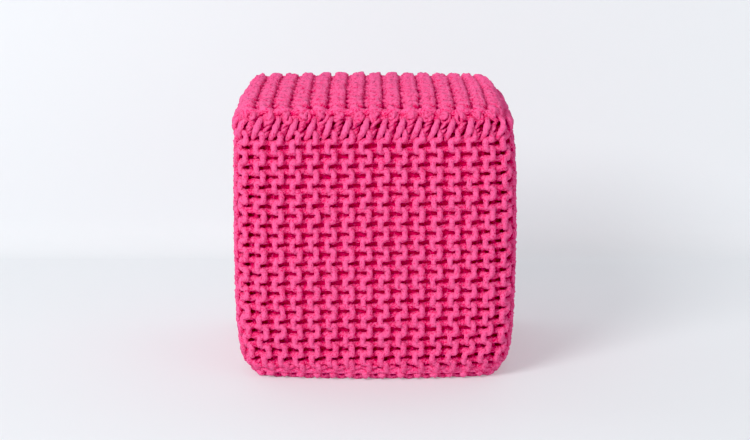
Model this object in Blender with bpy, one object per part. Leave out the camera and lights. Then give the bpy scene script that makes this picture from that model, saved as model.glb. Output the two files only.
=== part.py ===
"""A square knitted pouf, filled full: a ribbed band, a ribbed top and base, and two rows of joining stitches.

Sizes are in metres. +Z is up, the front faces -Y, and the origin lies under the middle of the base.
The ribs of the band are numbered from the front left corner, anticlockwise as seen from above: rib 0,
RIBS, 2 * RIBS and 3 * RIBS stand on the four corners, and whole numbers are crests.
"""

import math

import bmesh
import bpy
import numpy as np

# ---- Driving sizes --------------------------------------------------------------------------
SIDE = 0.382  # side to side and front to back, over the crests
HEIGHT = 0.378  # floor to the top of the crown
RIBS = 15  # ribs on each side of the band and across each panel
MID_PITCH = 0.0233  # from rib to rib in the middle of a side; round the corners they are stretched
RIB_RISE = 0.006  # groove to crest
CORNER_POWER = 12  # of the superellipse seen from above: about 36 mm of corner radius
BELLY = 0.003  # how far the filling pushes the sides out at mid height
TOP_EDGE = 0.023  # radius of the rounded edge between the sides and the top
BOTTOM_EDGE = 0.026  # the same round the base
CROWN = 0.007  # rise of the middle of the top above its edges
PRESSED = 0.0035  # groove level of the base above the floor, where its ribs are pressed flat

LUMP = 0.0066  # radius of a joining stitch at its fattest
WAIST = 0.0050  # and between two stitches
SEAM_DEPTH = 0.0030  # how far the middle of a joining stitch lies under the rounded edge
SEAM_SLOPE = math.radians(45)  # where the seam runs on the rounded edge, up from the side
SEAT_CLEARANCE = 0.0006  # between the fattest part of a stitch and its channel
PARTING = 0.0003  # between the band and each panel

CORNER_DRAW = 0.011  # how far the back right corner of the top is drawn in
SIDE_DRAW = 0.024  # how far its whole right edge leans in
CORNER_TUCK = 0.028  # how far the corners of the base are drawn in
REACH, TUCK_REACH = 0.080, 0.095  # how far from its corner the draw and the tuck still show

# ---- Sampling -------------------------------------------------------------------------------
POINTS_PER_RIB = 4
POINTS_PER_STITCH = 2
STITCH_SIDES = 8
RIB_POWER = 2.2  # over 1: a round crest between narrow grooves
PANEL_ROWS = (0, 0.010, 0.025, 0.055, 0.12, 0.28, 0.5)  # shares of the way from the front edge to the middle
BASE_ROWS = (0, 0.014, 0.055, 0.14)
BAND_RINGS = (0.10, 0.22, 0.38, 0.62, 0.84)  # shares of the height of the straight part
NOSE = math.radians(16)  # where a rib of the band starts to round off towards the seam

PINK = (0.84, 0.075, 0.27)
DEEP_PINK = (0.72, 0.045, 0.20)

HALF = SIDE / 2 - RIB_RISE - BELLY
TOP_LEVEL = HEIGHT - CROWN - RIB_RISE
CHANNEL = LUMP + SEAT_CLEARANCE


# ---- The outline seen from above ----------------------------------------------------------------


def front_outline(samples=4001):
    """The front side of a superellipse of half width HALF, from corner to corner.

    Returns the lengths along it, zero in the middle, and the polar angle of each point.
    """
    angle = np.radians(np.linspace(-135, -45, samples))
    radius = HALF / (abs(np.cos(angle)) ** CORNER_POWER + abs(np.sin(angle)) ** CORNER_POWER) ** (
        1 / CORNER_POWER
    )
    x, y = radius * np.cos(angle), radius * np.sin(angle)
    along = np.concatenate([[0], np.cumsum(np.hypot(np.diff(x), np.diff(y)))])
    return along - along[-1] / 2, angle


OUTLINE_LENGTH, OUTLINE_ANGLE = front_outline()


def around(rib, inset):
    """Points (x, y) of the outline at each rib number, moved inwards by inset along its normal.

    In the middle of a side the ribs are MID_PITCH apart. What is left of the side's length is
    given to the ribs near the corners by a seventh power, where the knitting is stretched.
    """
    side, within = np.divmod(np.asarray(rib, float), RIBS)
    share = 2 * within / RIBS - 1
    middle = MID_PITCH * RIBS / 2
    along = middle * share + (OUTLINE_LENGTH[-1] - middle) * share**7
    angle = np.interp(along, OUTLINE_LENGTH, OUTLINE_ANGLE)
    c, s = np.cos(angle), np.sin(angle)
    radius = HALF / (abs(c) ** CORNER_POWER + abs(s) ** CORNER_POWER) ** (1 / CORNER_POWER)
    out_x = np.sign(c) * abs(c) ** (CORNER_POWER - 1)
    out_y = np.sign(s) * abs(s) ** (CORNER_POWER - 1)
    length = np.hypot(out_x, out_y)
    x = radius * c - inset * out_x / length
    y = radius * s - inset * out_y / length
    turn = side * math.pi / 2
    return x * np.cos(turn) - y * np.sin(turn), x * np.sin(turn) + y * np.cos(turn)


def crest(rib):
    """How high the rib relief stands at each rib number: 1 on whole numbers, 0 halfway between."""
    phase = abs(rib - np.round(rib))
    return 1 - (2 * phase) ** RIB_POWER


def settle(points):
    """The set of a used pouf: the top's right edge and back right corner and the base's corners draw in.

    All moves are level, towards the middle, and those of the corners fade out as a bell curve.
    """
    x, y, z = points[:, 0], points[:, 1], points[:, 2]
    height = np.clip(z / HEIGHT, 0, 1)
    corner = SIDE / 2
    drawn = CORNER_DRAW * height**4 * np.exp(-((x - corner) ** 2 + (y - corner) ** 2) / REACH**2)
    spread = (abs(x) - corner) ** 2 + (abs(y) - corner) ** 2
    tucked = CORNER_TUCK * (1 - height) ** 11 * np.exp(-spread / TUCK_REACH**2)
    part = math.sqrt(0.5)
    lean = SIDE_DRAW * height**12 * np.clip(x / corner, 0, 1) ** 3
    x = x - lean - part * (drawn + np.sign(x) * tucked)
    y = y - part * (drawn + np.sign(y) * tucked)
    return np.stack([x, y, z], axis=1)


# ---- Turning rings and grids into bodies ----------------------------------------------------------


def material(name, colour, roughness):
    made = bpy.data.materials.new(name)
    made.use_nodes = True
    shader = made.node_tree.nodes["Principled BSDF"]
    shader.inputs["Base Color"].default_value = (*colour, 1)
    shader.inputs["Roughness"].default_value = roughness
    shader.inputs["Metallic"].default_value = 0
    return made


def make_object(name, points, faces, finish):
    """One closed body, settled, with its faces pointing out."""
    bm = bmesh.new()
    corners = [bm.verts.new(point) for point in settle(np.asarray(points))]
    for face in faces:
        bm.faces.new([corners[i] for i in face])
    bmesh.ops.recalc_face_normals(bm, faces=bm.faces)
    mesh = bpy.data.meshes.new(name)
    bm.to_mesh(mesh)
    bm.free()
    mesh.shade_smooth()
    mesh.materials.append(finish)
    made = bpy.data.objects.new(name, mesh)
    bpy.context.collection.objects.link(made)
    return made


def strip(first, second):
    """Quads between two closed rings of point numbers of equal length."""
    count = len(first)
    return [
        (first[i], first[(i + 1) % count], second[(i + 1) % count], second[i]) for i in range(count)
    ]


def ring_points(rib, inset, height):
    x, y = around(rib, inset)
    return np.stack([x, y, np.broadcast_to(height, x.shape)], axis=1)


# ---- The profile: where the rounded edges and the seams lie ----------------------------------------


def edge_point(radius, slope):
    """Inset from the side and height under the top of a rounded edge, at a slope up from the side."""
    return radius * (1 - math.cos(slope)), radius * (1 - math.sin(slope))


def seam_middle(radius):
    """The same for the middle of the joining stitches, SEAM_DEPTH under the edge."""
    inner = radius - SEAM_DEPTH
    return radius - inner * math.cos(SEAM_SLOPE), radius - inner * math.sin(SEAM_SLOPE)


def belly(height):
    """How far the side is pushed out at this height, a parabola."""
    return BELLY * (1 - (2 * height / HEIGHT - 1) ** 2)


# ---- The band ---------------------------------------------------------------------------------


def band_profile():
    """Rings of the band from the bottom up, as (inset, height, slope, share of the rib relief)."""
    rings = []
    for radius, level, up in ((BOTTOM_EDGE, PRESSED, -1), (TOP_EDGE, TOP_LEVEL, 1)):
        seam_inset, seam_drop = seam_middle(radius)
        seam_height = level - up * seam_drop
        end = []
        for slope, share in ((0.0, 1.0), (NOSE, 0.9)):
            inset, drop = edge_point(radius, slope)
            end.append((inset, level - up * drop, up * slope, share))
        for turn in (45, 90, 135, 180):
            angle = math.radians(turn)
            gap = up * PARTING / 2 if turn == 180 else 0
            inset = seam_inset - CHANNEL * math.cos(angle)
            end.append((inset, seam_height - up * CHANNEL * math.sin(angle) - gap, 0.0, 0.0))
        rings += end if up > 0 else end[::-1]
        if up < 0:
            low, high = PRESSED + BOTTOM_EDGE, TOP_LEVEL - TOP_EDGE
            rings += [(0.0, low + share * (high - low), 0.0, 1.0) for share in BAND_RINGS]
    return rings


def make_band(finish):
    rib = np.arange(4 * RIBS * POINTS_PER_RIB) / POINTS_PER_RIB
    relief = RIB_RISE * crest(rib)
    points, rings = [], []
    for inset, height, slope, share in band_profile():
        out = share * relief * math.cos(slope)
        level = height + share * relief * math.sin(slope)
        rings.append(range(len(points), len(points) + len(rib)))
        points += list(ring_points(rib, inset - out - belly(height), level))
    faces = [tuple(rings[0])[::-1], tuple(rings[-1])]
    for lower, upper in zip(rings, rings[1:]):
        faces += strip(lower, upper)
    return make_object("side_band", points, faces, finish)


# ---- The panels -------------------------------------------------------------------------------


def patch(columns, rows, inset):
    """Points (x, y) of a panel: its four curved edges, blended across (a Coons patch).

    columns and rows are rib numbers from 0 to RIBS along the front and the right side.
    """
    front = np.stack(around(columns, inset))
    back = np.stack(around(3 * RIBS - columns, inset))
    right = np.stack(around(RIBS + rows, inset))
    left = np.stack(around((4 * RIBS - rows) % (4 * RIBS), inset))
    u, v = columns / RIBS, (rows / RIBS)[:, None]
    across = (1 - v) * front[:, None, :] + v * back[:, None, :]
    along = (1 - u) * left[:, :, None] + u * right[:, :, None]
    corners = (1 - v) * ((1 - u) * front[:, None, :1] + u * front[:, None, -1:])
    corners = corners + v * ((1 - u) * back[:, None, :1] + u * back[:, None, -1:])
    return across + along - corners


def rise(distance, radius):
    """Share of the climb from the seam to the flat of the panel, along the arc of its rounded edge."""
    run = radius * math.cos(SEAM_SLOPE)
    foot = radius * math.sin(SEAM_SLOPE)
    left = np.clip(run - distance, 0, run)
    return (np.sqrt(radius**2 - left**2) - foot) / (radius - foot)


def make_panel(name, radius, level, up, shares, crown, finish):
    """A ribbed slab: the patch outside, one channel face for the joining stitches, and a flat inside."""
    seam_inset, seam_drop = seam_middle(radius)
    seam_height = level - up * seam_drop
    reach = CHANNEL * math.sin(math.radians(45))
    inset = seam_inset + reach - belly(seam_height)
    columns = np.arange(RIBS * POINTS_PER_RIB + 1) / POINTS_PER_RIB
    rows = RIBS * np.array([*shares, *(1 - share for share in shares[::-1] if share < 0.5)])
    x, y = patch(columns, rows, inset)
    wide = 2 * (HALF - inset)
    u, v = columns / RIBS, (rows / RIBS)[:, None]
    climb = rise(wide * np.minimum(u, 1 - u), radius) * rise(wide * np.minimum(v, 1 - v), radius)
    bump = 16 * u * (1 - u) * v * (1 - v)
    edge = seam_height + up * reach
    height = abs(level - edge) + crown * bump + RIB_RISE * crest(columns + 0.5)
    z = np.maximum(edge + up * climb * height, 0)
    outside = np.stack([x, y, z], axis=2).reshape(-1, 3)

    wide_count, deep_count = len(columns), len(rows)
    number = np.arange(wide_count * deep_count).reshape(deep_count, wide_count)
    faces = [
        (number[j, i], number[j, i + 1], number[j + 1, i + 1], number[j + 1, i])
        for j in range(deep_count - 1)
        for i in range(wide_count - 1)
    ]
    rim = [*number[0, :-1], *number[:-1, -1], *number[-1, :0:-1], *number[:0:-1, 0]]
    rim_ribs = np.concatenate(
        [columns[:-1], RIBS + rows[:-1], 3 * RIBS - columns[:0:-1], 4 * RIBS - rows[:0:-1]]
    )
    inner_inset = seam_inset + CHANNEL - belly(seam_height)
    inner = ring_points(rim_ribs % (4 * RIBS), inner_inset, seam_height + up * PARTING / 2)
    inner_ring = range(len(outside), len(outside) + len(inner))
    faces += strip(rim, inner_ring)
    faces.append(tuple(inner_ring))
    return make_object(name, [*outside, *inner], faces, finish)


# ---- The joining stitches -----------------------------------------------------------------------


def make_seam(name, radius, level, up, finish):
    """A closed cord that swells once for each rib, fattest between two ribs of the band."""
    seam_inset, seam_drop = seam_middle(radius)
    seam_height = level - up * seam_drop
    rib = np.arange(4 * RIBS * POINTS_PER_STITCH) / POINTS_PER_STITCH
    thickness = LUMP - (LUMP - WAIST) * crest(rib)
    points, rings = [], []
    for k in range(STITCH_SIDES):
        angle = 2 * math.pi * k / STITCH_SIDES
        inset = seam_inset - belly(seam_height) - thickness * math.cos(angle)
        rings.append(range(len(points), len(points) + len(rib)))
        points += list(ring_points(rib, inset, seam_height + thickness * math.sin(angle)))
    faces = []
    for first, second in zip(rings, [*rings[1:], rings[0]]):
        faces += strip(first, second)
    return make_object(name, points, faces, finish)


def main():
    for old in list(bpy.data.objects):
        bpy.data.objects.remove(old, do_unlink=True)
    make_band(material("band_yarn", PINK, 0.85))
    make_panel("top_panel", TOP_EDGE, TOP_LEVEL, 1, PANEL_ROWS, CROWN, material("top_yarn", PINK, 0.85))
    make_panel(
        "bottom_panel", BOTTOM_EDGE, PRESSED, -1, BASE_ROWS, 0.0, material("base_yarn", DEEP_PINK, 0.88)
    )
    make_seam("seam_top", TOP_EDGE, TOP_LEVEL, 1, material("top_stitches", PINK, 0.82))
    make_seam("seam_bottom", BOTTOM_EDGE, PRESSED, -1, material("base_stitches", PINK, 0.82))


main()
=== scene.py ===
# %% [markdown]
# # A square pouf, knitted in thick cotton cord
#
# The real object is a filled cube about 38 cm wide. Its cover is knitted from a pink cotton cord
# about 8 mm thick, and the stitches are so large that each one can be seen from across a room.
# A picture of knitting wrapped round a box would look flat, so here every stitch is a real piece
# of cord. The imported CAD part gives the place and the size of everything. We load it first and
# keep its box, because the finished model has to stay in it.

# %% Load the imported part
import math

import bpy
import numpy as np
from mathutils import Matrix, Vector


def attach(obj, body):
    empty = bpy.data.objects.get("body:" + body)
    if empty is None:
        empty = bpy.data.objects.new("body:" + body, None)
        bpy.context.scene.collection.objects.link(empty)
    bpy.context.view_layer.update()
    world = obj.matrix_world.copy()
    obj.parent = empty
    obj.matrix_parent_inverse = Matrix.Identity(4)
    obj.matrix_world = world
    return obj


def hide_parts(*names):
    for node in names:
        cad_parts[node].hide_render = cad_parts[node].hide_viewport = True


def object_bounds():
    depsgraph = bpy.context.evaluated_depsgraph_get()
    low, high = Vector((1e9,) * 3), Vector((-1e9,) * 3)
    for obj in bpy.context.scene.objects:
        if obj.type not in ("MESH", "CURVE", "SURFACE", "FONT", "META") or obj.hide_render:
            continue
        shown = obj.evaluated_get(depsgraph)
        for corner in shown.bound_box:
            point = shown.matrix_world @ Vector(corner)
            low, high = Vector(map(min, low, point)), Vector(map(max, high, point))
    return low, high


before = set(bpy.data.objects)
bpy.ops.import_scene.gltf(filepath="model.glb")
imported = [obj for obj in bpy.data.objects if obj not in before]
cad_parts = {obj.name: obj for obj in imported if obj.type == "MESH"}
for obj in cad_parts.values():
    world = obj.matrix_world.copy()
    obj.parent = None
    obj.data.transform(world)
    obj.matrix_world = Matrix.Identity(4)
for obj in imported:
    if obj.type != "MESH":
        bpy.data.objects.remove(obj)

cad_low, cad_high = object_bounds()
print("CAD box", [round(v, 4) for v in cad_low], [round(v, 4) for v in cad_high])

# %% [markdown]
# ## The sizes
#
# The solids of the part were drawn with a few named sizes. The knitting follows the same shape, so
# the same names come back here, in metres. The ribs of the sides are numbered from the front left
# corner, anticlockwise as seen from above, and whole numbers are the crests.

# %% Sizes of the pouf and of its cord
SIDE, HEIGHT = 0.382, cad_high.z
RIBS = 15  # ribs on each side and across the top
MID_PITCH = 0.0233  # from rib to rib in the middle of a side
RIB_RISE = 0.006  # groove to crest on the CAD solids
CORNER_POWER = 12  # of the superellipse seen from above
BELLY = 0.003  # how far the sides are pushed out at mid height
TOP_EDGE, BOTTOM_EDGE = 0.023, 0.026  # radii of the rounded edges
CROWN, PRESSED = 0.007, 0.0035  # rise of the top, and groove level of the base
HALF = SIDE / 2 - RIB_RISE - BELLY
TOP_LEVEL = HEIGHT - CROWN - RIB_RISE
SHOULDER, FOOT = TOP_LEVEL - TOP_EDGE, PRESSED + BOTTOM_EDGE  # where the edges start to round
SEAM_SLOPE = math.pi / 4  # the seams lie 45 degrees round the edges
SEAM_TOP, SEAM_BASE = SHOULDER + SEAM_SLOPE * TOP_EDGE, FOOT - SEAM_SLOPE * BOTTOM_EDGE

CORD = 0.0080  # diameter of the cord
STITCH = 0.0262  # length of one stitch along its rib
SUNK = 0.0040  # how far the middle of the knitting lies under the grooves of the solids
CORNERS = 4 * RIBS  # ribs all the way round
print(f"cord {CORD * 1000:.1f} mm, {HEIGHT / STITCH:.1f} stitches in the height")

# %% [markdown]
# ## The camera
#
# The photograph looks at the front from a little above, from nearly three metres away: the far
# edge of the top is only an eighth shorter than the near edge. A long lens at that distance keeps
# the same perspective. The camera comes first.

# %% Place the camera
VIEW_DISTANCE, VIEW_ELEVATION = 2.95, math.radians(11.4)
AIM = (0.0, 0.0, 0.1845)
FOCAL_PIXELS, PICTURE_WIDTH = 2089.0, 750  # focal length and width of the picture, in pixels
SENSOR_WIDTH = 36  # in millimetres

lens = bpy.data.cameras.new("view_lens")
lens.sensor_width = SENSOR_WIDTH
lens.lens = FOCAL_PIXELS * SENSOR_WIDTH / PICTURE_WIDTH
camera = bpy.data.objects.new("view", lens)
camera.location = (
    AIM[0],
    AIM[1] - VIEW_DISTANCE * math.cos(VIEW_ELEVATION),
    AIM[2] + VIEW_DISTANCE * math.sin(VIEW_ELEVATION),
)
camera.rotation_euler = (math.pi / 2 - VIEW_ELEVATION, 0, 0)
bpy.context.collection.objects.link(camera)
bpy.context.scene.camera = camera
print(f"lens {lens.lens:.0f} mm at {VIEW_DISTANCE} m")

# %% [markdown]
# ## The shape of the cover
#
# Seen from above, the pouf is a superellipse: a square whose corners are rounded by one formula.
# We need to know where each rib stands on it, so the first function turns a rib number into a
# point. Near the corners the knitting is stretched, and the ribs stand further apart there.


# %% Outline seen from above
def front_outline(samples=4001):
    """Lengths along the front of the curve |x|^n + |y|^n = HALF^n, zero in its middle, and the
    polar angle at each."""
    angle = np.radians(np.linspace(-135, -45, samples))
    c, s = abs(np.cos(angle)) ** CORNER_POWER, abs(np.sin(angle)) ** CORNER_POWER
    radius = HALF / (c + s) ** (1 / CORNER_POWER)
    x, y = radius * np.cos(angle), radius * np.sin(angle)
    along = np.concatenate([[0], np.cumsum(np.hypot(np.diff(x), np.diff(y)))])
    return along - along[-1] / 2, angle


OUTLINE_LENGTH, OUTLINE_ANGLE = front_outline()
WIDENING = 7  # the higher this power, the nearer to the corners the ribs start to widen


def around(rib, inset):
    """Points (x, y) at each rib number, moved inwards by inset along the outline's normal.

    In the middle of a side, length = rib number times pitch. The rest of the side's length is
    added as a high power of the distance from the middle, so it falls to the corners.
    """
    side, within = np.divmod(rib, RIBS)
    share = 2 * within / RIBS - 1
    middle = MID_PITCH * RIBS / 2
    along = middle * share + (OUTLINE_LENGTH[-1] - middle) * share**WIDENING
    angle = np.interp(along, OUTLINE_LENGTH, OUTLINE_ANGLE)
    c, s = np.cos(angle), np.sin(angle)
    radius = HALF / (abs(c) ** CORNER_POWER + abs(s) ** CORNER_POWER) ** (1 / CORNER_POWER)
    out_x = np.sign(c) * abs(c) ** (CORNER_POWER - 1)
    out_y = np.sign(s) * abs(s) ** (CORNER_POWER - 1)
    length = np.hypot(out_x, out_y)
    x = radius * c - inset * out_x / length
    y = radius * s - inset * out_y / length
    turn = side * math.pi / 2
    return x * np.cos(turn) - y * np.sin(turn), x * np.sin(turn) + y * np.cos(turn)


print(f"ribs {np.diff(around(np.array([7.0, 8.0]), 0)[0])[0] * 1000:.1f} mm apart in the middle")

# %% [markdown]
# A used pouf is never a perfect cube. On this one the right edge of the top leans in, its back
# right corner is drawn in a little, and the corners of the base tuck under. The solids have this
# uneven set, so the knitting gets exactly the same formula.

# %% The uneven set
CORNER_DRAW, SIDE_DRAW, CORNER_TUCK = 0.011, 0.024, 0.028  # the largest moves
REACH, TUCK_REACH = 0.080, 0.095  # widths of the bell curves round the corners
DRAW_POWER, SIDE_POWER, TUCK_POWER = 4, 12, 11  # the higher, the nearer to the top or the floor
TO_THE_RIGHT = 3  # power by which the right side leans in and the middle stays


def settle(points):
    """Level moves towards the middle. All change with a power of the height. Two fade as a bell
    curve of the distance from a corner, and the lean grows with the distance to the right."""
    x, y, z = points[..., 0], points[..., 1], points[..., 2]
    height, corner = np.clip(z / HEIGHT, 0, 1), SIDE / 2
    from_back_right = (x - corner) ** 2 + (y - corner) ** 2  # squared distances
    from_nearest = (abs(x) - corner) ** 2 + (abs(y) - corner) ** 2
    drawn = CORNER_DRAW * height**DRAW_POWER * np.exp(-from_back_right / REACH**2)
    tucked = CORNER_TUCK * (1 - height) ** TUCK_POWER * np.exp(-from_nearest / TUCK_REACH**2)
    lean = SIDE_DRAW * height**SIDE_POWER * np.clip(x / corner, 0, 1) ** TO_THE_RIGHT
    part = math.sqrt(0.5)  # of a move along the diagonal, in x and in y
    x = x - lean - part * (drawn + np.sign(x) * tucked)
    y = y - part * (drawn + np.sign(y) * tucked)
    return np.stack([x, y, z], axis=-1)


print("top back right corner moves to", settle(np.array([[0.16, 0.16, 0.36]])).round(4))

# %% [markdown]
# Two surfaces carry the knitting: one goes up the sides and round the two edges, and one covers
# the top or the base between the seams. Each takes two numbers for a place on it and gives the
# point in space, for whole arrays at once. The first is a profile carried round the outline: a
# straight wall with an arc at each end.


# %% The surface of the sides
def belly(height):
    """A parabola in the height, zero at floor and top."""
    return BELLY * (1 - (2 * height / HEIGHT - 1) ** 2)


def side_surface(rib, run):
    """Middle of the knitting on the sides. run is the length up the wall, equal to the height
    on its straight part. Past that the wall turns along an arc, by length over radius."""
    turn = np.maximum(run - SHOULDER, 0) / TOP_EDGE - np.maximum(FOOT - run, 0) / BOTTOM_EDGE
    radius = np.where(turn > 0, TOP_EDGE, BOTTOM_EDGE)
    height = np.clip(run, FOOT, SHOULDER) + (radius - SUNK) * np.sin(turn)
    inset = radius - (radius - SUNK) * np.cos(turn)
    x, y = around(rib, inset - belly(height))
    return settle(np.stack([x, y, height], axis=-1))


seam_middle = side_surface(np.array([RIBS / 2]), np.array([SEAM_TOP]))
print("top seam in the middle of the front", seam_middle.round(4))

# %% [markdown]
# The top and the base are patches between the four sides of the outline. Blending the front into
# the back and the left into the right, and taking the corners off once, gives a smooth net that
# meets all four sides. This is called a Coons patch.


# %% The surface of the top and of the base
def coons(column, row, inset):
    """A patch between the four sides of the outline: the blend across plus the blend along,
    less the blend of the four corners, which both of them count."""
    u, v = column / RIBS, row / RIBS
    front, back = np.stack(around(column, inset)), np.stack(around(3 * RIBS - column, inset))
    right, left = np.stack(around(RIBS + row, inset)), np.stack(around(4 * RIBS - row, inset))
    corner = [np.stack(around(np.full_like(u, n * RIBS), inset)) for n in range(4)]
    near, away = (1 - u) * corner[0] + u * corner[1], (1 - u) * corner[3] + u * corner[2]
    return (1 - v) * front + v * back + (1 - u) * left + u * right - ((1 - v) * near + v * away)


def panel_surface(column, row, top=True):
    """Middle of the knitting on the top or base. Its height climbs along the arc of the edge,
    and the top adds a crown, the product of two parabolas."""
    radius, level, up = (TOP_EDGE, TOP_LEVEL, 1) if top else (BOTTOM_EDGE, PRESSED, -1)
    inset, drop = radius - radius * math.cos(SEAM_SLOPE), radius - radius * math.sin(SEAM_SLOPE)
    edge = level - up * drop
    x, y = coons(column, row, inset - belly(edge))
    u, v, wide = column / RIBS, row / RIBS, 2 * (HALF - inset)
    foot = radius * math.sin(SEAM_SLOPE)

    def climb(distance):
        left = np.clip(radius * math.cos(SEAM_SLOPE) - distance, 0, None)
        return (np.sqrt(np.maximum(radius**2 - left**2, 0)) - foot) / (radius - foot)

    share = climb(wide * np.minimum(u, 1 - u)) * climb(wide * np.minimum(v, 1 - v))
    crown = CROWN * 4 * u * (1 - u) * 4 * v * (1 - v) if top else 0
    height = edge + up * share * (drop + crown)
    return settle(np.stack([x, y, height - up * SUNK], axis=-1))


middle = np.array([RIBS / 2])
print("middle of the top", panel_surface(middle, middle).round(4))

# %% [markdown]
# `lift` moves points off a surface along its normal, which is the cross product of two short
# steps on the surface. With it, a stitch can be drawn as if the cover lay flat on a table.


# %% Off the surface, along its normal
STEP_A, STEP_B = 1e-3, 1e-4  # short steps of the surface's two numbers


def lift(surface, a, b, out):
    """surface(a, b) moved by out along the normal, and that normal."""
    here = surface(a, b)
    normal = np.cross(surface(a + STEP_A, b) - here, surface(a, b + STEP_B) - here)
    normal /= np.linalg.norm(normal, axis=-1, keepdims=True)
    return here + out[..., None] * normal, normal


point, facing = lift(side_surface, middle, np.array([HEIGHT / 2]), np.array([0.0]))
print("middle of the front", point.round(4), "faces", facing.round(2))

# %% [markdown]
# ## One stitch
#
# The cord snakes along its rib. It lies on the outside as a short upright bar, turns, dives
# between its neighbours and comes back as a bar on the inside. Two such cords share each rib,
# half a stitch apart, so their bars alternate left and right like the teeth of a zip. A sum of a
# few sines draws this path: each one is easy to tune, because it changes one thing.


# %% Path of the cord through a stitch
SQUARED = 0.13  # share of the third harmonic, which squares the swing off
SWING, BESIDE = 0.435, 0.25  # half the swing, and how far from the crest its middle lies, in ribs
LONG_BARS = 0.60  # the second harmonic along the rib
RELIEF, OUTER_POWER = 0.72, 0.9  # how far the bars lie out or in, in cords, and how abruptly
INNER_POWERS = {True: 2.2, False: 1.2}  # how abruptly inside, for the left cord and the right
LEG_SWELL = {True: 0.20, False: 0.16}  # how much thicker the legs are than the bars, likewise


def meander(turn, left):
    """The path as (across in ribs, along in stitches, out in cords, thickness as a share).

    turn goes up by a full circle for each stitch. The swing across is a cosine squared off by
    its third harmonic. Along, a second harmonic makes the bars long and the legs level. Out
    follows the swing with a power, which keeps the bars at the surface, and the legs are thicker
    than the bars because the cord spreads there.
    """
    swing = (np.cos(turn) - SQUARED * np.cos(3 * turn)) / (1 - SQUARED)
    side = -1 if left else 1
    across = side * BESIDE + SWING * swing
    along = (turn + LONG_BARS * np.sin(2 * turn)) / (2 * math.pi)
    outwards, inwards = np.maximum(-side * swing, 0), np.maximum(side * swing, 0)
    out = RELIEF * outwards**OUTER_POWER - RELIEF * inwards ** INNER_POWERS[left]
    thickness = 1 + LEG_SWELL[left] * np.sin(turn) ** 2
    return across, along, out, thickness


bar = meander(np.array([0.0]), True)
print(f"outer bar {bar[0][0]:.2f} ribs right of its crest, {bar[2][0] * CORD * 1000:.1f} mm out")

# %% [markdown]
# ## From a path to a cord
#
# A cord is a circle carried along a path. A curve object with a bevel would do it too, but with
# arrays all the paths of a piece are handled together: one array holds every point of every path.
# The pattern on the cord, its plait, has to follow the cord round its bends, so each cord gets a
# UV map: once round is 0 to 1, and along it the map counts diameters. Each point also remembers
# how high it stands in the knitting, for painted shade: the colour paints the outside of the cords
# paler and the gaps deeper.


# %% Arrays into a mesh
def mesh_from(name, points, quads, caps, uv, finish, height=None):
    """A mesh from whole arrays: points (n, 3), quads (m, 4), caps (k, sides), a UV for each corner
    and, for each point, how high it stands in the knitting."""
    mesh = bpy.data.meshes.new(name)
    corners = np.concatenate([quads.ravel(), caps.ravel()]).astype(np.int32)
    wide = caps.shape[1] if caps.size else 0
    starts = np.concatenate([np.arange(len(quads)) * 4, quads.size + np.arange(len(caps)) * wide])
    mesh.vertices.add(len(points))
    mesh.vertices.foreach_set("co", points.astype(np.float32).ravel())
    mesh.loops.add(len(corners))
    mesh.loops.foreach_set("vertex_index", corners)
    mesh.polygons.add(len(starts))
    mesh.polygons.foreach_set("loop_start", starts.astype(np.int32))
    mesh.update(calc_edges=True)
    layer = mesh.uv_layers.new(name="along_cord")
    layer.data.foreach_set("uv", uv.astype(np.float32).ravel())
    if height is not None:
        stands = mesh.attributes.new("height", "FLOAT", "POINT")
        stands.data.foreach_set("value", height.astype(np.float32))
    mesh.validate()
    mesh.shade_smooth()
    mesh.materials.append(finish)
    piece = bpy.data.objects.new(name, mesh)
    bpy.context.collection.objects.link(piece)
    return piece


# %% Cords as one mesh
FUZZ = 0.10  # unevenness of the cord, as a share of its radius
PLY, TWIST = 0.09, 0.8  # strands: height in radii, and turn in radians for each diameter
NEXT_CORD = 3.7  # how many diameters further along the pattern each next cord starts
FIBRES = np.random.default_rng(5)


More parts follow.
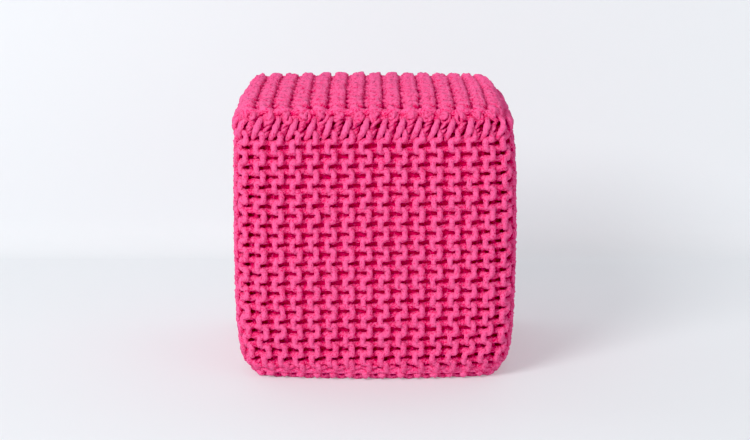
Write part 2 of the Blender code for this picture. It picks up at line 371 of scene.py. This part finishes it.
def cords(name, paths, out, level, radius, sides, finish, closed=False):
    """Circles of the given radius round each path, joined by quads. The ends get caps, and a
    closed path joins its last circle to its first.

    paths and out are (paths, points, 3), level and radius (paths, points). The circle stands
    square to the path: one axis is the cross product of its direction and the outward normal.
    A point's height is the path's level plus how far the point stands out from the path.
    Every second point round it stands higher and the ring turns along the path, which makes
    strands that wind round the cord. Each point is also moved in or out a little at random. What
    would sink into the floor is pressed flat on it.
    """
    count, long = paths.shape[:2]
    if closed:
        ahead = np.roll(paths, -1, axis=1) - np.roll(paths, 1, axis=1)
    else:
        ahead = np.gradient(paths, axis=1)
    ahead /= np.linalg.norm(ahead, axis=-1, keepdims=True)
    side = np.cross(ahead, out)
    side /= np.maximum(np.linalg.norm(side, axis=-1, keepdims=True), 1e-9)
    face = np.cross(side, ahead)
    step = np.linalg.norm(np.diff(paths, axis=1), axis=-1)
    far = np.concatenate([np.zeros((count, 1)), np.cumsum(step, axis=1)], axis=1) / CORD
    twist = 0 if closed else TWIST * far[:, :, None]
    angle = (2 * math.pi * np.arange(sides) / sides + twist)[..., None]
    ring = np.cos(angle) * side[:, :, None] + np.sin(angle) * face[:, :, None]
    rough = 1 + FUZZ * FIBRES.standard_normal(ring.shape[:3]) + PLY * (-1.0) ** np.arange(sides)
    points = paths[:, :, None] + (radius[:, :, None] * rough)[..., None] * ring
    points[..., 2] = np.maximum(points[..., 2], 0)
    # Painted shade: this height drives the colour, so the outer side of each cord is painted paler
    # and its inner side and the gaps deeper.
    height = (level[:, :, None] + radius[:, :, None] * (ring * out[:, :, None]).sum(-1)) / CORD

    number = np.arange(count * long * sides).reshape(count, long, sides)
    if closed:
        number = np.concatenate([number, number[:, :1]], axis=1)
        far = np.concatenate([far, far[:, -1:] + step.mean() / CORD], axis=1)
    beside = np.roll(number, -1, axis=2)
    quads = np.stack([number[:, :-1], number[:, 1:], beside[:, 1:], beside[:, :-1]], axis=-1)
    u0 = np.broadcast_to(np.arange(sides) / sides, quads.shape[:3])
    v0 = np.broadcast_to(far[:, :-1, None], quads.shape[:3])
    v1 = np.broadcast_to(far[:, 1:, None], quads.shape[:3])
    u = np.stack([u0, u0, u0 + 1 / sides, u0 + 1 / sides], axis=-1)
    v = np.stack([v0, v1, v1, v0], axis=-1)
    v = v + NEXT_CORD * np.arange(count)[:, None, None, None]
    uv = np.stack([u, v], axis=-1).reshape(-1, 2)
    if closed:
        caps = np.zeros((0, sides), int)
    else:
        caps = np.concatenate([number[:, 0], number[:, -1, ::-1]])
        uv = np.concatenate([uv, np.zeros((caps.size, 2))])
    points, quads = points.reshape(-1, 3), quads.reshape(-1, 4)
    print(f"{name} {far[:, -1].sum() * CORD:.1f} m of cord in {count} lengths")
    return mesh_from(name, points, quads, caps, uv, finish, height.ravel())


# %% [markdown]
# ## The cotton
#
# The cord is plaited from many thin strands, and the strands are fuzzy. Close up that gives four
# things at four sizes: the diamonds of the plait, streaks where a strand lies a little higher, a
# fine speckle of fibres, and wide soft patches a little paler or deeper. A picture of yarn would
# repeat, so each of the four is worked out by nodes instead. We add them up into one number and
# let a colour ramp turn it into pink. The height in the knitting is added too, as painted shade:
# the gaps get the deepest colour, painted for the light that has bounced from cord to cord there
# until little but red is left.
# The streaks, fibres and plait also go to a bump, for the fuzz.


# %% Helpers for shader nodes
def add(tree, kind, **settings):
    """One node; settings whose names are inputs set those, and the others set the node itself."""
    node = tree.nodes.new(kind)
    for name, value in settings.items():
        label = name.replace("_", " ").title()
        if label in node.inputs:
            node.inputs[label].default_value = value
        else:
            setattr(node, name, value)
    return node


def maths(tree, operation, *terms):
    """A Math node over outputs and plain numbers, and its result."""
    node = add(tree, "ShaderNodeMath", operation=operation)
    for socket, term in zip(node.inputs, terms):
        if isinstance(term, (int, float)):
            socket.default_value = term
        else:
            tree.links.new(term, socket)
    return node.outputs[0]


STRANDS, TURNS = 5, 1.3  # of the plait: strands each way, and turns in a diameter


def plait(tree):
    """Strands wound both ways round the cord: sine(around + along) times sine(around - along)."""
    place = add(tree, "ShaderNodeUVMap", uv_map="along_cord").outputs["UV"]
    split = add(tree, "ShaderNodeSeparateXYZ")
    tree.links.new(place, split.inputs[0])
    round_cord = maths(tree, "MULTIPLY", split.outputs[0], 2 * math.pi * STRANDS)
    up_cord = maths(tree, "MULTIPLY", split.outputs[1], 2 * math.pi * TURNS)
    one_way = maths(tree, "SINE", maths(tree, "ADD", round_cord, up_cord))
    other_way = maths(tree, "SINE", maths(tree, "SUBTRACT", round_cord, up_cord))
    return maths(tree, "MULTIPLY", one_way, other_way)


# %% The cotton cord
STREAKS = (14.0, 2.2, 1.0)  # how often they change once round the cord, and in a diameter
FIBRE_SCALE, PATCH_SCALE = 430.0, 60.0  # changes in a metre
PLAIT_RELIEF = 0.20  # of the plait in the bump, where fibres and streaks have one each


def cotton(name, shades, start, weights):
    """Plaited cotton. shades are (ramp position, colour). The ramp reads start plus a weighted sum
    of the height in the knitting, the fibres, the streaks, the patches and the plait."""
    made = bpy.data.materials.new(name)
    made.use_nodes = True
    tree = made.node_tree
    shader = tree.nodes["Principled BSDF"]
    place = add(tree, "ShaderNodeTexCoord").outputs["Object"]
    on_cord = add(tree, "ShaderNodeUVMap", uv_map="along_cord").outputs["UV"]
    stretch = add(tree, "ShaderNodeVectorMath", operation="MULTIPLY")
    stretch.inputs[1].default_value = STREAKS
    tree.links.new(on_cord, stretch.inputs[0])
    streaks = add(tree, "ShaderNodeTexNoise", scale=1.0, detail=2.0, roughness=0.6)
    tree.links.new(stretch.outputs[0], streaks.inputs["Vector"])
    fibres = add(tree, "ShaderNodeTexNoise", scale=FIBRE_SCALE, detail=3.0, roughness=0.75)
    patches = add(tree, "ShaderNodeTexNoise", scale=PATCH_SCALE, detail=1.0)
    for noise in (fibres, patches):
        tree.links.new(place, noise.inputs["Vector"])
    # Painted shade: the height in the knitting deepens the colour of the gaps and of the cord
    # undersides.
    height = add(tree, "ShaderNodeAttribute", attribute_name="height").outputs["Fac"]
    strands = plait(tree)
    noises = [noise.outputs["Fac"] for noise in (fibres, streaks, patches)]
    total = start
    for output, weight in zip((height, *noises, strands), weights):
        total = maths(tree, "MULTIPLY_ADD", output, weight, total)
    ramp = add(tree, "ShaderNodeValToRGB")
    tree.links.new(total, ramp.inputs[0])
    stops = ramp.color_ramp.elements
    for _ in shades[2:]:
        stops.new(0.5)
    for stop, (position, colour) in zip(stops, shades):
        stop.position, stop.color = position, (*colour, 1)
    tree.links.new(ramp.outputs[0], shader.inputs["Base Color"])

    relief = maths(tree, "MULTIPLY_ADD", strands, PLAIT_RELIEF, fibres.outputs["Fac"])
    relief = maths(tree, "ADD", relief, streaks.outputs["Fac"])
    bump = add(tree, "ShaderNodeBump", strength=0.8, distance=0.0018)
    tree.links.new(relief, bump.inputs["Height"])
    tree.links.new(bump.outputs["Normal"], shader.inputs["Normal"])
    shader.inputs["Roughness"].default_value = 0.92
    shader.inputs["Specular IOR Level"].default_value = 0.18
    shader.inputs["Sheen Weight"].default_value = 0.10
    shader.inputs["Sheen Roughness"].default_value = 0.5
    shader.inputs["Sheen Tint"].default_value = (1.0, 0.55, 0.75, 1)
    return made


# %% Pink for the cords and a deeper pink for the filling
# The shades run from deep to pale pink. Dark fibres reach the deep end, and so do low places in the
# knitting, through the height weight of PINK_WEIGHTS, as painted shade.
PINK_SHADES = (
    (0.30, (0.72, 0.0, 0.040)),
    (0.72, (0.85, 0.020, 0.145)),
    (1.0, (1.0, 0.145, 0.360)),
)
PINK_START = -0.72
PINK_WEIGHTS = (0.22, 1.55, 1.20, 0.22, 0.06)  # height, fibres, streaks, patches, plait
yarn = cotton("pink_cotton", PINK_SHADES, PINK_START, PINK_WEIGHTS)

# The filling's deeper pink, with no green, is partly painted shade: it sets the crimson of the
# slots.
FILLING_SHADES = ((0.3, (0.80, 0.0, 0.10)), (0.9, (0.95, 0.0, 0.18)))
FILLING_WEIGHTS = (0.0, 1.2, 0.0, 0.0, 0.0)  # fibres alone
filling = cotton("filling_cotton_painted_shade", FILLING_SHADES, 0.0, FILLING_WEIGHTS)
print("materials", yarn.name, filling.name)

# %% [markdown]
# ## Knitting
#
# Hands never pull two stitches alike. `wander` gives each cord a slow random drift, from values
# at every half stitch with a smooth step between them, and always the same one, because the dice
# are seeded. `knit` then lays the two cords of every rib on a surface, the same way for the sides,
# the top and the base. What differs between them is passed in: how far the bars stand out, an arch
# across the rib, a step once for each stitch along it, and how full the cord is.

# %% A slow random drift
DICE = np.random.default_rng(11)


def wander(places, size):
    """A smooth random curve along each row: random values at every half stitch, eased between."""
    half = np.floor(2 * places).astype(int)
    half -= half.min()
    ease = 0.5 - 0.5 * np.cos(math.pi * (2 * places - np.floor(2 * places)))
    value = DICE.normal(0, size, (len(places), half.max() + 2))
    row = np.arange(len(places))[:, None]
    return value[row, half] * (1 - ease) + value[row, half + 1] * ease


# %% How much hands vary, and how a cord ends
DRIFT_ACROSS, DRIFT_ALONG = 0.024, 0.030  # in ribs and in stitches
DRIFT_OUT, DRIFT_THICK = 0.05, 0.03  # as shares
TUCK_LENGTH, THINNING = 0.35, 0.35  # stitches over which an end dives, and how much it thins
FLANK = -1.2  # beside the rib the arch falls no lower than this, in its own heights
# STEP_SHADE is painted shade: it darkens the colour under each step's line, for fine crosswise
# lines.
STEP_SHADE, STEP_LINE = 4.0, 0.15  # how much darker a step is under a line, and how high the line


# %% Lay two cords for each rib
def knit(
    name, surface, to_place, crest, start, end, grain,
    relief=1.0, arch=0.0, steps=0.0, tuck_in=0.55, pinch=0.0, plump=1.0,
):
    """Two cords for each rib, half a stitch apart, laid on a surface.

    to_place turns (rib number, stitches along) into the surface's two numbers. grain is (points
    for each stitch, sides of the cord). relief scales how far the bars stand out, the arch is
    arch * (1 - (2 * across)^4), and steps is the height of a sine once for each stitch. At both
    ends the cord thins and dives by tuck_in cords, under the joining stitches, and the rib is
    pinched by a share. plump scales the cord. The level kept for the colour is the height less
    STEP_SHADE times how far the step lies under its line.
    """
    paths, outs, levels, radii = [], [], [], []
    for left in (True, False):
        count = int(round((end - start).max() * grain[0])) + 1
        places = start[:, None] + (end - start)[:, None] * np.linspace(0, 1, count)
        across, along, out, thick = meander(2 * math.pi * places, left)
        across = across + wander(places, DRIFT_ACROSS)
        along = along + wander(places, DRIFT_ALONG)
        out = relief * out * (1 + wander(places, DRIFT_OUT))
        thick = thick * (1 + wander(places, DRIFT_THICK))
        near = np.minimum(places - start[:, None], end[:, None] - places)
        tuck = np.clip(1 - near / TUCK_LENGTH, 0, 1) ** 2
        step = steps * (1 - tuck) * np.sin(2 * math.pi * places)
        out = (out * (1 - tuck) - tuck_in * tuck) * CORD + step
        out = out + arch * np.maximum(1 - (2 * across) ** 4, FLANK)
        a, b = to_place(crest[:, None] + across * (1 - pinch * tuck), along)
        path, normal = lift(surface, a, b, out)
        paths.append(path)
        outs.append(normal)
        # Painted shade: the level sets the colour, so low places and the part of a step under its
        # line are painted deeper.
        levels.append(out + STEP_SHADE * np.minimum(step - STEP_LINE * steps, 0))
        radii.append(plump * CORD / 2 * thick * (1 - THINNING * tuck))
    joined = [np.concatenate(part) for part in (paths, outs, levels, radii)]
    return cords(name, *joined, grain[1], yarn)


# %% Attach a piece to the body and hide the CAD parts it stands for
def dress(piece, slot, *nodes):
    """The piece rides on the one body and stands for CAD nodes, which it hides. slot is not used.
    """
    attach(piece, "root")
    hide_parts(*nodes)
    triangles = sum(len(polygon.vertices) - 2 for polygon in piece.data.polygons)
    print(piece.name, triangles, "triangles")


# %% [markdown]
# ### The four sides
#
# The sides are laid as if knitted round and round: the rows climb slowly and meet again one stitch
# higher, so no corner shows where they begin. The first row of bars hides under the joining
# stitches of the top edge.

# %% Knit the four sides
UNDER_SEAM = 0.004  # how far below the top seam the first row lies
TOP_ROW, BASE_ROW = SEAM_TOP - UNDER_SEAM, SEAM_BASE
FIRST = 0.50  # the part of a stitch that each cord leaves out at the top
SIDE_GRAIN = (24, 8)


def on_side(rib, along):
    """Rows climb by one stitch on the way round, as in a piece knitted in a spiral."""
    return rib, TOP_ROW - STITCH * (along - rib / CORNERS)


for number, name in enumerate(("front", "right", "back", "left")):
    crest = number * RIBS + np.arange(RIBS, dtype=float)
    start = crest / CORNERS + FIRST
    end = start - FIRST + (TOP_ROW - BASE_ROW) / STITCH
    piece = knit(f"knit_{name}", side_surface, on_side, crest, start, end, SIDE_GRAIN)
    dress(piece, "knitted_cord", "side_band")

# %% [markdown]
# ### The top and the base
#
# The ribs of the top run from front to back and stand between those of the front. Their cord is
# fuller, and it rises and falls a little once in every stitch, so a low look along the ribs shows
# fine lines crosswise. The base is the same piece of knitting, but the weight of the pouf presses
# it flat: an arch pushes its ribs down, and the floor stops them.

# %% Knit the top and the base
PANEL_STITCHES = 12
RIB_END, RIB_SIDE = 0.22, 0.03  # how far inside the seams the ribs stay, in ribs


def on_panel(rib, along):
    """Rows from the front seam to the back seam, ribs kept inside the seams at the sides."""
    share = np.clip(along / PANEL_STITCHES, 0, 1)
    return np.clip(rib, RIB_SIDE, RIBS - RIB_SIDE), RIBS * share + RIB_END * (1 - 2 * share)


def base_surface(column, row):
    """The base seen from below: its columns are counted from the right, so the normal is down."""
    return panel_surface(RIBS - column, row, False)


crest = np.arange(RIBS) + 0.5
start = np.zeros(RIBS)
end = start + PANEL_STITCHES
TOP_GRAIN, BASE_GRAIN = (24, 8), (16, 6)
piece = knit(
    "knit_top", panel_surface, on_panel, crest, start, end, TOP_GRAIN,
    relief=0.85, arch=0.0002, steps=0.0024, tuck_in=0.3, pinch=0.3, plump=1.17,
)
dress(piece, "knitted_cord", "top_panel")
piece = knit(
    "knit_base", base_surface, on_panel, crest, start, end, BASE_GRAIN,
    relief=0.4, arch=0.004, tuck_in=0.2,
)
dress(piece, "knitted_cord", "bottom_panel")

# %% [markdown]
# ## Joining stitches
#
# Along each edge the panels are joined to the sides by a row of thick stitches, one for each rib.
# At the top such a stitch is a knot, a slanting bar and a few thin strands. Each kind of piece is
# one mesh of sixty short cords, and each of the sixty is turned, bent and sized a little
# differently. They are laid with `side_surface`, like the sides, so they follow the rounded edge
# and its corners.


# %% Short cords along an edge
def edge_cords(name, node, rib, run, out, radius, sides=8, closed=False):
    """Cords given by rib number, length up the wall and distance off it, all (cords, points)."""
    rib, run, out, radius = np.broadcast_arrays(rib, run, out, radius)
    path, normal = lift(side_surface, rib, run, out)
    piece = cords(name, path, normal, out, radius, sides, yarn, closed)
    dress(piece, "joining_cord", node)


def vary(size):
    """One random value for each joining stitch, from a bell curve as wide as size."""
    return DICE.normal(0, size, (CORNERS, 1))


RIB = np.arange(CORNERS)[:, None]  # a column, so that each row of an array is one stitch

# %% [markdown]
# ### Knots
#
# Every rib of the top ends in a puffy knot, and the row of knots goes on along the other two edges.
# A tied knot would need a long tangled path, and little of it would show. Two rings, a wide one
# near the wall and a small one on it, with two short cords arched over them, look much like one
# from a step away.

# %% Two rings for each knot
LOOP_POINTS = 14
LOOPS = (  # half the width in ribs, half the height, distance off the wall, and radius
    (0.27, 0.0085, 0.0026, 0.0030),
    (0.14, 0.0042, 0.0062, 0.0026),
)
KNOT_AT, KNOT_UP = 0.50, 0.0010  # between two ribs of the side, and above the seam
LOOP_TIP = 0.0020  # a ring tips out by this on one side and in on the other

turn = 2 * math.pi * np.arange(LOOP_POINTS) / LOOP_POINTS
for loop, (wide, tall, off, thick) in enumerate(LOOPS):
    lean = vary(0.5)
    edge_cords(
        f"seam_loop_{loop + 1}", "seam_top",
        RIB + KNOT_AT + vary(0.04) + (wide + vary(0.02)) * np.cos(turn),
        SEAM_TOP + KNOT_UP + vary(0.0012) + (tall + vary(0.0006)) * np.sin(turn + lean),
        off + vary(0.0006) + LOOP_TIP * np.cos(turn + vary(1.5)),
        thick + vary(0.0002), closed=True,
    )

# %% Two cords that cross each knot
THIN_SIDES = 6  # of the thinner cords
CROSSING_TILTS = (-0.6, 1.0)  # in radians
CROSSING_AT, CROSSING_APART = 0.44, 0.12  # in ribs
CROSSING_WIDE, CROSSING_TALL = 0.24, 0.0085  # half the reach, in ribs and up the wall
CROSSING_OFF, CROSSING_OUT = 0.0005, 0.0072  # distance off the wall, and height of the arch
CROSSING_THIN, CROSSING_SWELL = 0.0020, 0.0006  # radius at the ends, and what the middle adds

share = np.linspace(-1, 1, 9)
arched = np.cos(math.pi / 2 * share)
for crossing, tilt in enumerate(CROSSING_TILTS):
    tilt = tilt + vary(0.3)
    middle = RIB + CROSSING_AT + CROSSING_APART * crossing
    edge_cords(
        f"seam_crossing_{crossing + 1}", "seam_top",
        middle + vary(0.04) + (CROSSING_WIDE + vary(0.03)) * np.cos(tilt) * share,
        SEAM_TOP + KNOT_UP + vary(0.0015) + (CROSSING_TALL + vary(0.0010)) * np.sin(tilt) * share,
        CROSSING_OFF + (CROSSING_OUT + vary(0.0008)) * arched,
        CROSSING_THIN + CROSSING_SWELL * arched, THIN_SIDES,
    )

# %% [markdown]
# ### Slanting bars
#
# From between two knots a thick bar reaches down to the first row of the side. It stands well off
# the wall and casts a shadow beside it, so its arch, a sine along the bar, is the highest of all.
# Powers of the share let the bar start steeply and lean over near its end, with the top of the
# arch a little above the middle.

# %% A bar for each rib
BAR_AT, BAR_SLANT = 0.10, 0.50  # where a bar starts, and how far it leans, in ribs
BAR_DOWN, BAR_LENGTH = 0.0030, 0.0290  # how far below the seam it starts, and its reach down
BAR_OFF, BAR_OUT = 0.0008, 0.0078  # distance off the wall, and height of the arch
BAR_THIN, BAR_SWELL = 0.0032, 0.0012  # radius at the ends, and what the middle adds
LEAN_LATE, ARCH_EARLY = 1.2, 0.8  # powers of the share

share = np.linspace(0, 1, 14)
edge_cords(
    "seam_bars", "seam_top",
    RIB + BAR_AT + vary(0.03) - (BAR_SLANT + vary(0.04)) * share**LEAN_LATE,
    SEAM_TOP - BAR_DOWN + vary(0.0008) - BAR_LENGTH * share,
    BAR_OFF + (BAR_OUT + vary(0.0006)) * np.sin(math.pi * share**ARCH_EARLY),
    BAR_THIN + (BAR_SWELL + vary(0.0003)) * np.sin(math.pi * share),
)

# %% [markdown]
# ### Fans between the bars
#
# Between two bars thin strands rise from left to right. They lie in a stack of five, and each
# place in the stack is one mesh.

# %% Strands that fan out between the bars
FAN_AT, FAN_APART, FAN_WIDE = -0.02, 0.05, 0.56  # start, shift from strand to strand, and reach
FAN_DOWN, FAN_PITCH, FAN_RISE = 0.0330, 0.0046, 0.0095  # the same along the wall, in metres
FAN_OUT, FAN_EARLY = 0.0040, 0.9  # height of the arch, and the power that brings its top forward
FAN_THIN, FAN_SWELL = 0.0020, 0.0005  # radius at the ends, and what the middle adds

share = np.linspace(0, 1, 8)
for row in range(5):
    edge_cords(
        f"seam_fan_{row + 1}", "seam_top",
        RIB + FAN_AT + FAN_APART * row + vary(0.04) + (FAN_WIDE + vary(0.03)) * share,
        SEAM_TOP - FAN_DOWN + FAN_PITCH * row + vary(0.0008) + (FAN_RISE + vary(0.0015)) * share,
        (FAN_OUT + vary(0.0008)) * np.sin(math.pi * share**FAN_EARLY),
        FAN_THIN + FAN_SWELL * np.sin(math.pi * share), THIN_SIDES,
    )

# %% [markdown]
# ### The edge of the base
#
# Low down the stitches are squeezed between the pouf and the floor. They show as two rows of
# nearly level strands with a row of small bumps below them, one under each rib.

# %% Strands round the base
STRAND_SHIFT, STRAND_WIDE = 0.30, 0.46  # of the second row, and half the reach, in ribs
STRAND_UP, STRAND_PITCH, STRAND_FALL = 0.0058, 0.0044, 0.0020  # up the wall
STRAND_OFF, STRAND_OUT = 0.0008, 0.0036  # distance off the wall, and height of the arch
STRAND_THIN, STRAND_SWELL = 0.0024, 0.0008  # radius at the ends, and what the middle adds

share = np.linspace(-1, 1, 9)
arched = np.cos(math.pi / 2 * share)
for row in range(2):
    height = SEAM_BASE + STRAND_UP + STRAND_PITCH * row
    edge_cords(
        f"base_strands_{row + 1}", "seam_bottom",
        RIB + STRAND_SHIFT * row + vary(0.05) + (STRAND_WIDE + vary(0.04)) * share,
        height + vary(0.0008) - (STRAND_FALL + vary(0.0015)) * share,
        STRAND_OFF + (STRAND_OUT + vary(0.0008)) * arched,
        STRAND_THIN + STRAND_SWELL * arched, THIN_SIDES,
    )

# %% Bumps under the ribs
BUMP_WIDE, BUMP_DOWN = 0.13, 0.0015  # half the reach in ribs, and how far below the seam
BUMP_OFF, BUMP_OUT = 0.0015, 0.0062  # distance off the wall, and height of the arch
BUMP_THIN, BUMP_SWELL = 0.0032, 0.0018  # radius at the ends, and what the middle adds

arched = 1 - share**2
edge_cords(
    "base_bumps", "seam_bottom",
    RIB + vary(0.04) + BUMP_WIDE * share,
    SEAM_BASE - BUMP_DOWN + vary(0.0006) + vary(0.0015) * share,
    BUMP_OFF + BUMP_OUT * arched,
    BUMP_THIN + (BUMP_SWELL + vary(0.0003)) * arched,
)

# %% [markdown]
# ### Cords all the way round
#
# Between the short cords one would look into the pouf. A cord drawn through all the stitches would
# lie there, so one closed ring goes round behind each row.

# %% A ring behind each row of joining stitches
TOP_RING = (SEAM_TOP, -0.0015, 0.0045)  # place up the wall, distance off it, and radius
BASE_RING = (SEAM_BASE + 0.0025, 0.0030, 0.0050)

all_round = np.linspace(0, CORNERS, 4 * CORNERS, endpoint=False)[None]
edge_cords("top_round", "seam_top", all_round, *TOP_RING, closed=True)
edge_cords("base_round", "seam_bottom", all_round, *BASE_RING, closed=True)

# %% [markdown]
# ## The filling
#
# Behind the slots of the knitting one sees no hollow but a tight body in a deeper pink, partly
# painted shade: its colour stands for the crimson shade in the slots. It is the one padded piece
# here. We start from rings round the pouf, a little too small, remesh them into even quads and let
# Blender's cloth blow them up like a balloon. No point may move further than a cap, so the body
# comes to rest just inside the cords.

# %% Rings of the filled body
DEEP = 0.0085  # how far the body starts inside the cover
SWELL = 0.0020  # and how far a point may move

body_rib = np.arange(0, CORNERS, 0.5)


def body_ring(inset, height, share=1.0):
    """One ring: the outline moved in by inset, and shrunk to its share for the flat ends."""
    x, y = around(body_rib, inset - belly(height))
    return settle(np.stack([share * x, share * y, np.full_like(x, height)], axis=-1))


def quarter(start, radius, middle):
    """Rings on a quarter circle of the profile, 30 degrees apart from angle start on."""
    small = radius - DEEP
    angles = np.radians(start + 30 * np.arange(4))
    return [body_ring(radius - small * math.cos(a), middle + small * math.sin(a)) for a in angles]


# %% Join the rings into one closed skin
SHARES = (0.02, 0.25, 0.5, 0.75, 0.93)  # sizes of the rings on the two flat ends
rings = [body_ring(BOTTOM_EDGE, PRESSED + DEEP, s) for s in SHARES]
rings += quarter(-90, BOTTOM_EDGE, FOOT)
rings += [body_ring(DEEP, h) for h in np.linspace(FOOT, SHOULDER, 8)[1:-1]]
rings += quarter(0, TOP_EDGE, SHOULDER)
rings += [body_ring(TOP_EDGE, TOP_LEVEL - DEEP + CROWN * (1 - s**2), s) for s in SHARES[::-1]]
rings = np.array(rings)
number = np.arange(rings.shape[0] * rings.shape[1]).reshape(rings.shape[:2])
beside = np.roll(number, -1, axis=1)
quads = np.stack([number[:-1], beside[:-1], beside[1:], number[1:]], axis=-1).reshape(-1, 4)
caps = np.stack([number[0, ::-1], number[-1]])
no_uv = np.zeros((quads.size + caps.size, 2))
body = mesh_from("filled_body", rings.reshape(-1, 3), quads, caps, no_uv, filling)
print("filled body starts", [round(v, 3) for v in body.dimensions])


# %% Read meshes back
def coordinates(mesh):
    """All points of a mesh as one array."""
    flat = np.empty(3 * len(mesh.vertices), np.float32)
    mesh.vertices.foreach_get("co", flat)
    return flat.reshape(-1, 3)


def applied(piece):
    """The mesh of a piece as its modifiers leave it."""
    final = piece.evaluated_get(bpy.context.evaluated_depsgraph_get())
    return bpy.data.meshes.new_from_object(final)


# %% Blow the body up
VOXEL, PRESSURE, FRAMES = 0.011, 4.0, 20


def blow_up(piece, voxel, pressure, cap):
    """Even quads, then cloth under pressure without gravity, each move capped."""
    remesh = piece.modifiers.new("even_quads", "REMESH")
    remesh.mode, remesh.voxel_size = "VOXEL", voxel
    mesh = applied(piece)
    piece.modifiers.clear()
    piece.data = mesh
    before = coordinates(mesh)
    cloth = piece.modifiers.new("cloth", "CLOTH")
    cloth.settings.use_pressure, cloth.settings.uniform_pressure_force = True, pressure
    cloth.settings.effector_weights.gravity = 0
    for moment in range(1, FRAMES + 1):
        bpy.context.scene.frame_set(moment)
    after = coordinates(applied(piece))
    piece.modifiers.clear()
    bpy.context.scene.frame_set(1)
    move = after - before
    length = np.linalg.norm(move, axis=1, keepdims=True)
    move *= np.minimum(1, cap / np.maximum(length, 1e-9))
    mesh.vertices.foreach_set("co", (before + move).ravel())
    mesh.shade_smooth()
    moved = 1000 * np.linalg.norm(move, axis=1).mean()
    print(f"{len(mesh.vertices)} points moved by {moved:.1f} mm")


blow_up(body, VOXEL, PRESSURE, SWELL)
body.data.materials.clear()
body.data.materials.append(filling)
smooth = body.modifiers.new("smooth", "SUBSURF")
smooth.levels = smooth.render_levels = 1
dress(body, "knitted_cord", "side_band", "top_panel", "bottom_panel")

# %% [markdown]
# ## Floor and light
#
# The pouf stands on pale paper, and a sheet of the same paper stands not far behind it, with a
# fold at its foot. Both are matt, with a faint glow of painted light that lifts their shadows. The
# wall is only there for a camera in front of it: from behind it lets the view through.


# %% Pale paper on the floor and the wall
def paper(name, colour):
    """Matt paper, clear from its back, whose faint glow is painted light that lifts its shadows."""
    made = bpy.data.materials.new(name)
    made.use_nodes = True
    tree = made.node_tree
    shader = tree.nodes["Principled BSDF"]
    shader.inputs["Base Color"].default_value = (*colour, 1)
    shader.inputs["Roughness"].default_value = 0.9
    # Painted light: the paper glows a little though it is no lamp, which lifts the shadows on it.
    shader.inputs["Emission Color"].default_value = (0.96, 0.98, 1.0, 1)
    shader.inputs["Emission Strength"].default_value = 0.27
    clear = add(tree, "ShaderNodeBsdfTransparent")
    side = add(tree, "ShaderNodeNewGeometry").outputs["Backfacing"]
    both = add(tree, "ShaderNodeMixShader")
    tree.links.new(side, both.inputs[0])
    tree.links.new(shader.outputs[0], both.inputs[1])
    tree.links.new(clear.outputs[0], both.inputs[2])
    tree.links.new(both.outputs[0], tree.nodes["Material Output"].inputs["Surface"])
    return made


def sheet_along_x(name, profile, finish):
    """A profile of (y, z) points drawn out along X."""
    count = len(profile)
    ends = [np.column_stack([np.full(count, x), profile]) for x in (-WIDE, WIDE)]
    step = np.arange(count - 1)
    quads = np.stack([step, count + step, count + step + 1, step + 1], axis=1)
    no_caps = np.zeros((0, 4), int)
    piece = mesh_from(name, np.concatenate(ends), quads, no_caps, np.zeros((quads.size, 2)), finish)
    return piece


WIDE = 4.0  # half the width and half the depth of the paper
WALL, FOLD, WALL_TOP = 0.64, 0.06, 3.0  # where the wall stands, the radius at its foot, its height
OFF_FLOOR = (0, 0.0002)  # keeps the foot of the wall just above the floor
pale = paper("pale_paper", (0.56, 0.58, 0.60))
turn = np.linspace(0, math.pi / 2, 9)
fold = np.column_stack([WALL - FOLD + FOLD * np.sin(turn), FOLD - FOLD * np.cos(turn)])
sheet_along_x("floor_paper", np.array([[-WIDE, 0.0], [WIDE, 0.0]]), pale)
wall = sheet_along_x("wall_paper", np.concatenate([fold + OFF_FLOOR, [[WALL, WALL_TOP]]]), pale)
wall.visible_shadow = False
print("wall", WALL, "m behind the middle of the pouf")

# %% [markdown]
# The photograph has one large soft light on the left and in front, about 30 degrees up, and white
# walls that fill the rest. The edges of the shadow tell where it hangs: it falls to the right and
# back. The disk is large, so the shadow is soft, and the right side of each cord stays darker. A
# weak second disk on the right lifts that side a little.


# %% Softboxes and white surroundings
def softbox(name, place, aim, size, power):
    """A white disk of the given width that faces its aim."""
    light = bpy.data.lights.new(name, "AREA")
    light.shape, light.size, light.energy = "DISK", size, power
    lamp = bpy.data.objects.new(name, light)
    bpy.context.collection.objects.link(lamp)
    lamp.location = place
    beam = Vector(aim) - Vector(place)
    lamp.rotation_euler = beam.to_track_quat("-Z", "Y").to_euler()
    print(f"{name} light {beam.length:.1f} m away, {size} m wide")


AIMED_AT = (0, 0, 0.2)
softbox("key", (-2.6, -3.8, 3.0), AIMED_AT, size=2.3, power=215)
softbox("fill", (2.0, -2.2, 1.0), AIMED_AT, size=1.6, power=8)

world = bpy.data.worlds.new("studio")
world.use_nodes = True
world.node_tree.nodes["Background"].inputs["Color"].default_value = (0.95, 0.97, 1.0, 1)
world.node_tree.nodes["Background"].inputs["Strength"].default_value = 0.42
bpy.context.scene.world = world

# %% [markdown]
# Print and screen pictures are a little harder than real light. A black level that takes a small
# amount from green and from blue makes the gaps crimson, because green and blue are weak there.

# %% Tones of the picture
BLACK = (0.0, 0.018, 0.006)  # taken from red, green and blue
tones = bpy.context.scene.view_settings
tones.view_transform = "Standard"
tones.use_curve_mapping = True
tones.curve_mapping.black_level = BLACK
tones.curve_mapping.update()
print("view", tones.view_transform, "black level", BLACK)
